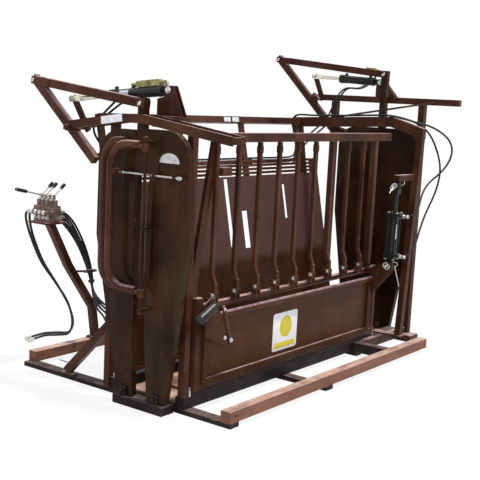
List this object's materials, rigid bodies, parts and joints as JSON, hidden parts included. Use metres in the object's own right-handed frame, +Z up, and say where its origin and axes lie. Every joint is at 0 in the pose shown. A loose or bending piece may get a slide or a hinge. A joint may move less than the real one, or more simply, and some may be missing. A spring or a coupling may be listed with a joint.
{
  "type": "hydraulic calf chute",
  "caption": "Hydraulic calf squeeze chute on skids, with a divided head gate, a tail gate, drop bars, a drop panel and a valve stand",
  "frame": {"origin": "on the ground, on the centre line of the chute, under the middle of the lengthwise bearer", "axes": "+X towards the tail gate, where the animal comes in; +Y towards the side with the valve stand; +Z up"},
  "size_m": [2.8128, 2.177, 2.0533],
  "materials": {
    "brown_paint": "gloss reddish-brown paint with scuffs and rust at the edges",
    "weathered_paint": "the same paint, dulled and rusted where it is stepped on",
    "dark_paint": "dark brown paint, dusty",
    "black_enamel": "black enamel",
    "zinc_plate": "dull zinc plate",
    "chromed_rod": "hard chrome with an oil film",
    "olive_enamel": "olive enamel, oily",
    "hose_rubber": "matte black hose cover"
  },
  "bodies": {
    "frame": {"near_skid": "weathered_paint", "far_skid": "weathered_paint", "cross_members": "dark_paint", "sill_rails": "dark_paint", "floor_pan": "weathered_paint", "head_gate_sill": "dark_paint", "head_arch_frame": "brown_paint", "tail_gate_frame": "brown_paint", "tail_top_tube": "brown_paint", "rear_hoop": "brown_paint", "near_hinge_rod": "zinc_plate", "far_side_frame": "brown_paint", "far_side_sheet": "brown_paint", "valve_stand_post": "weathered_paint", "valve_bank": "olive_enamel", "stand_hoses": "hose_rubber", "head_hoses": "hose_rubber", "squeeze_hoses": "hose_rubber", "tail_hoses": "hose_rubber", "supply_hose_1": "hose_rubber", "supply_hose_2": "hose_rubber", "supply_coupler_1": "zinc_plate", "supply_coupler_2": "zinc_plate"},
    "head_near_half": {"head_gate_near_half": "brown_paint"},
    "head_far_half": {"head_gate_far_half": "brown_paint", "far_neck_bar": "brown_paint"},
    "head_lever": {"head_lever": "brown_paint"},
    "head_long_link": {"head_long_link": "brown_paint"},
    "head_short_link": {"head_short_link": "brown_paint"},
    "head_barrel": {"head_cylinder_barrel": "black_enamel", "head_lock_valve": "zinc_plate"},
    "head_rod": {"head_cylinder_rod": "chromed_rod"},
    "tail_near_half": {"tail_gate_near_half": "brown_paint"},
    "tail_far_half": {"tail_gate_far_half": "brown_paint"},
    "tail_lever": {"tail_lever": "brown_paint"},
    "tail_long_link": {"tail_long_link": "brown_paint"},
    "tail_short_link": {"tail_short_link": "brown_paint"},
    "tail_barrel": {"tail_cylinder_barrel": "black_enamel", "tail_lock_valve": "zinc_plate"},
    "tail_rod": {"tail_cylinder_rod": "chromed_rod"},
    "neck_bar": {"neck_bar": "brown_paint"},
    "neck_latch": {"neck_latch_rod": "zinc_plate"},
    "near_side": {"near_side_frame": "brown_paint"},
    "squeeze_rod": {"squeeze_cylinder_rod": "chromed_rod"},
    "squeeze_barrel": {"squeeze_cylinder_barrel": "black_enamel"},
    "drop_panel": {"drop_panel": "brown_paint"},
    "panel_latch": {"panel_latch_handle": "black_enamel"},
    "drop_bar_1": {"drop_bar_1": "brown_paint"},
    "drop_bar_2": {"drop_bar_2": "brown_paint"},
    "drop_bar_3": {"drop_bar_3": "brown_paint"},
    "drop_bar_4": {"drop_bar_4": "brown_paint"},
    "drop_bar_5": {"drop_bar_5": "brown_paint"},
    "drop_bar_6": {"drop_bar_6": "brown_paint"},
    "drop_bar_7": {"drop_bar_7": "brown_paint"},
    "drop_bar_8": {"drop_bar_8": "brown_paint"},
    "drop_bar_9": {"drop_bar_9": "brown_paint"},
    "valve_lever_1": {"valve_lever_1": "zinc_plate"},
    "valve_lever_2": {"valve_lever_2": "zinc_plate"},
    "valve_lever_3": {"valve_lever_3": "zinc_plate"},
    "valve_lever_4": {"valve_lever_4": "zinc_plate"}
  },
  "joints": [
    {"name": "head_gate", "type": "hinge", "parent": "frame", "child": "head_near_half", "pos_m": [-1.29, -0.145, 0.075], "axis": [1, 0, 0], "range_deg": [0, 9]},
    {"name": "head_far_half_hinge", "type": "hinge", "parent": "frame", "child": "head_far_half", "pos_m": [-1.29, 0.088, 0.075], "axis": [1, 0, 0], "range_deg": [-7.52, 0]},
    {"name": "head_lever_pivot", "type": "hinge", "parent": "frame", "child": "head_lever", "pos_m": [-1.29, 0.546, 1.497], "axis": [1, 0, 0], "range_deg": [0, 45.97]},
    {"name": "head_long_link_pin", "type": "hinge", "parent": "head_lever", "child": "head_long_link", "pos_m": [-1.29, 0.872, 1.748], "axis": [1, 0, 0], "range_deg": [-35.62, 0]},
    {"name": "head_short_link_pin", "type": "hinge", "parent": "head_far_half", "child": "head_short_link", "pos_m": [-1.29, 0.27, 1.37], "axis": [1, 0, 0], "range_deg": [-4.35, 0]},
    {"name": "head_barrel_pin", "type": "hinge", "parent": "frame", "child": "head_barrel", "pos_m": [-1.2, -0.08, 1.727], "axis": [1, 0, 0], "range_deg": [0, 1.41]},
    {"name": "head_rod_stroke", "type": "slide", "parent": "head_barrel", "child": "head_rod", "axis": [0, 0.9949, -0.1004], "range_m": [-0.14723, 0]},
    {"name": "tail_gate", "type": "hinge", "parent": "frame", "child": "tail_near_half", "pos_m": [1.218, -0.11, 0.075], "axis": [1, 0, 0], "range_deg": [0, 9]},
    {"name": "tail_far_half_hinge", "type": "hinge", "parent": "frame", "child": "tail_far_half", "pos_m": [1.218, 0.11, 0.075], "axis": [1, 0, 0], "range_deg": [-9.17, 0]},
    {"name": "tail_lever_pivot", "type": "hinge", "parent": "frame", "child": "tail_lever", "pos_m": [1.218, 0.575, 1.742], "axis": [1, 0, 0], "range_deg": [0, 48.72]},
    {"name": "tail_long_link_pin", "type": "hinge", "parent": "tail_lever", "child": "tail_long_link", "pos_m": [1.218, 0.92, 2.018], "axis": [1, 0, 0], "range_deg": [-37.94, 0]},
    {"name": "tail_short_link_pin", "type": "hinge", "parent": "tail_far_half", "child": "tail_short_link", "pos_m": [1.218, 0.28, 1.49], "axis": [1, 0, 0], "range_deg": [0, 8.87]},
    {"name": "tail_barrel_pin", "type": "hinge", "parent": "frame", "child": "tail_barrel", "pos_m": [1.308, 0.06, 1.87], "axis": [1, 0, 0], "range_deg": [0, 0.533]},
    {"name": "tail_rod_stroke", "type": "slide", "parent": "tail_barrel", "child": "tail_rod", "axis": [0, 0.9987, 0.0515], "range_m": [-0.14157, 0]},
    {"name": "neck_bar_hinge", "type": "hinge", "parent": "head_near_half", "child": "neck_bar", "pos_m": [-1.365, -0.066, 1], "axis": [0, 0, 1], "range_deg": [0, 100]},
    {"name": "neck_latch_slide", "type": "slide", "parent": "head_near_half", "child": "neck_latch", "axis": [0, 1, 0], "range_m": [-0.1, 0]},
    {"name": "squeeze", "type": "hinge", "parent": "frame", "child": "near_side", "pos_m": [0, -0.262, 0.13], "axis": [1, 0, 0], "range_deg": [-7.5, 0]},
    {"name": "squeeze_rod_pin", "type": "hinge", "parent": "frame", "child": "squeeze_rod", "pos_m": [0.72, -0.44, 1.18], "axis": [1, 0, 0], "range_deg": [0, 6.9]},
    {"name": "squeeze_stroke", "type": "slide", "parent": "squeeze_rod", "child": "squeeze_barrel", "axis": [0, -0.0179, 0.9998], "range_m": [0, 0.0147]},
    {"name": "drop_panel_hinge", "type": "hinge", "parent": "near_side", "child": "drop_panel", "pos_m": [0, -0.3, 0.169], "axis": [1, 0, 0], "range_deg": [0, 60]},
    {"name": "panel_latch_pivot", "type": "hinge", "parent": "drop_panel", "child": "panel_latch", "pos_m": [-1.112, -0.3575, 0.614], "axis": [0, -1, 0], "range_deg": [0, 35]},
    {"name": "drop_bar_1_hinge", "type": "hinge", "parent": "near_side", "child": "drop_bar_1", "pos_m": [-1.032, -0.3, 0.638], "axis": [1, 0, 0], "range_deg": [0, 100]},
    {"name": "drop_bar_2_hinge", "type": "hinge", "parent": "near_side", "child": "drop_bar_2", "pos_m": [-0.8376, -0.3, 0.638], "axis": [1, 0, 0], "range_deg": [0, 100]},
    {"name": "drop_bar_3_hinge", "type": "hinge", "parent": "near_side", "child": "drop_bar_3", "pos_m": [-0.6432, -0.3, 0.638], "axis": [1, 0, 0], "range_deg": [0, 100]},
    {"name": "drop_bar_4_hinge", "type": "hinge", "parent": "near_side", "child": "drop_bar_4", "pos_m": [-0.4488, -0.3, 0.638], "axis": [1, 0, 0], "range_deg": [0, 100]},
    {"name": "drop_bar_5_hinge", "type": "hinge", "parent": "near_side", "child": "drop_bar_5", "pos_m": [-0.2544, -0.3, 0.638], "axis": [1, 0, 0], "range_deg": [0, 100]},
    {"name": "drop_bar_6_hinge", "type": "hinge", "parent": "near_side", "child": "drop_bar_6", "pos_m": [-0.06, -0.3, 0.638], "axis": [1, 0, 0], "range_deg": [0, 100]},
    {"name": "drop_bar_7_hinge", "type": "hinge", "parent": "near_side", "child": "drop_bar_7", "pos_m": [0.1344, -0.3, 0.638], "axis": [1, 0, 0], "range_deg": [0, 100]},
    {"name": "drop_bar_8_hinge", "type": "hinge", "parent": "near_side", "child": "drop_bar_8", "pos_m": [0.3288, -0.3, 0.638], "axis": [1, 0, 0], "range_deg": [0, 100]},
    {"name": "drop_bar_9_hinge", "type": "hinge", "parent": "near_side", "child": "drop_bar_9", "pos_m": [0.5232, -0.3, 0.638], "axis": [1, 0, 0], "range_deg": [0, 100]},
    {"name": "valve_lever_1_pivot", "type": "hinge", "parent": "frame", "child": "valve_lever_1", "pos_m": [-1.09, 0.938, 1.052], "axis": [0, 1, 0], "range_deg": [-20, 20], "stiffness_Nm_per_rad": 2},
    {"name": "valve_lever_2_pivot", "type": "hinge", "parent": "frame", "child": "valve_lever_2", "pos_m": [-1.09, 0.974, 1.052], "axis": [0, 1, 0], "range_deg": [-20, 20], "stiffness_Nm_per_rad": 2},
    {"name": "valve_lever_3_pivot", "type": "hinge", "parent": "frame", "child": "valve_lever_3", "pos_m": [-1.09, 1.01, 1.052], "axis": [0, 1, 0], "range_deg": [-20, 20], "stiffness_Nm_per_rad": 2},
    {"name": "valve_lever_4_pivot", "type": "hinge", "parent": "frame", "child": "valve_lever_4", "pos_m": [-1.09, 1.046, 1.052], "axis": [0, 1, 0], "range_deg": [-20, 20], "stiffness_Nm_per_rad": 2}
  ],
  "couplings": [
    {"joint": "head_far_half_hinge", "follows": "head_gate", "ratio": -0.8333},
    {"joint": "head_lever_pivot", "follows": "head_gate", "ratio": 5.106},
    {"joint": "head_long_link_pin", "follows": "head_gate", "ratio": -3.956},
    {"joint": "head_short_link_pin", "follows": "head_gate", "ratio": -0.481},
    {"joint": "head_barrel_pin", "follows": "head_gate", "ratio": 0.1544},
    {"joint": "head_rod_stroke", "follows": "head_gate", "m_per_rad": -0.936},
    {"joint": "tail_far_half_hinge", "follows": "tail_gate", "ratio": -1.0167},
    {"joint": "tail_lever_pivot", "follows": "tail_gate", "ratio": 5.411},
    {"joint": "tail_long_link_pin", "follows": "tail_gate", "ratio": -4.213},
    {"joint": "tail_short_link_pin", "follows": "tail_gate", "ratio": 0.983},
    {"joint": "tail_barrel_pin", "follows": "tail_gate", "ratio": 0.057},
    {"joint": "tail_rod_stroke", "follows": "tail_gate", "m_per_rad": -0.9},
    {"joint": "squeeze_rod_pin", "follows": "squeeze", "ratio": -0.912},
    {"joint": "squeeze_stroke", "follows": "squeeze", "m_per_rad": -0.1108}
  ]
}
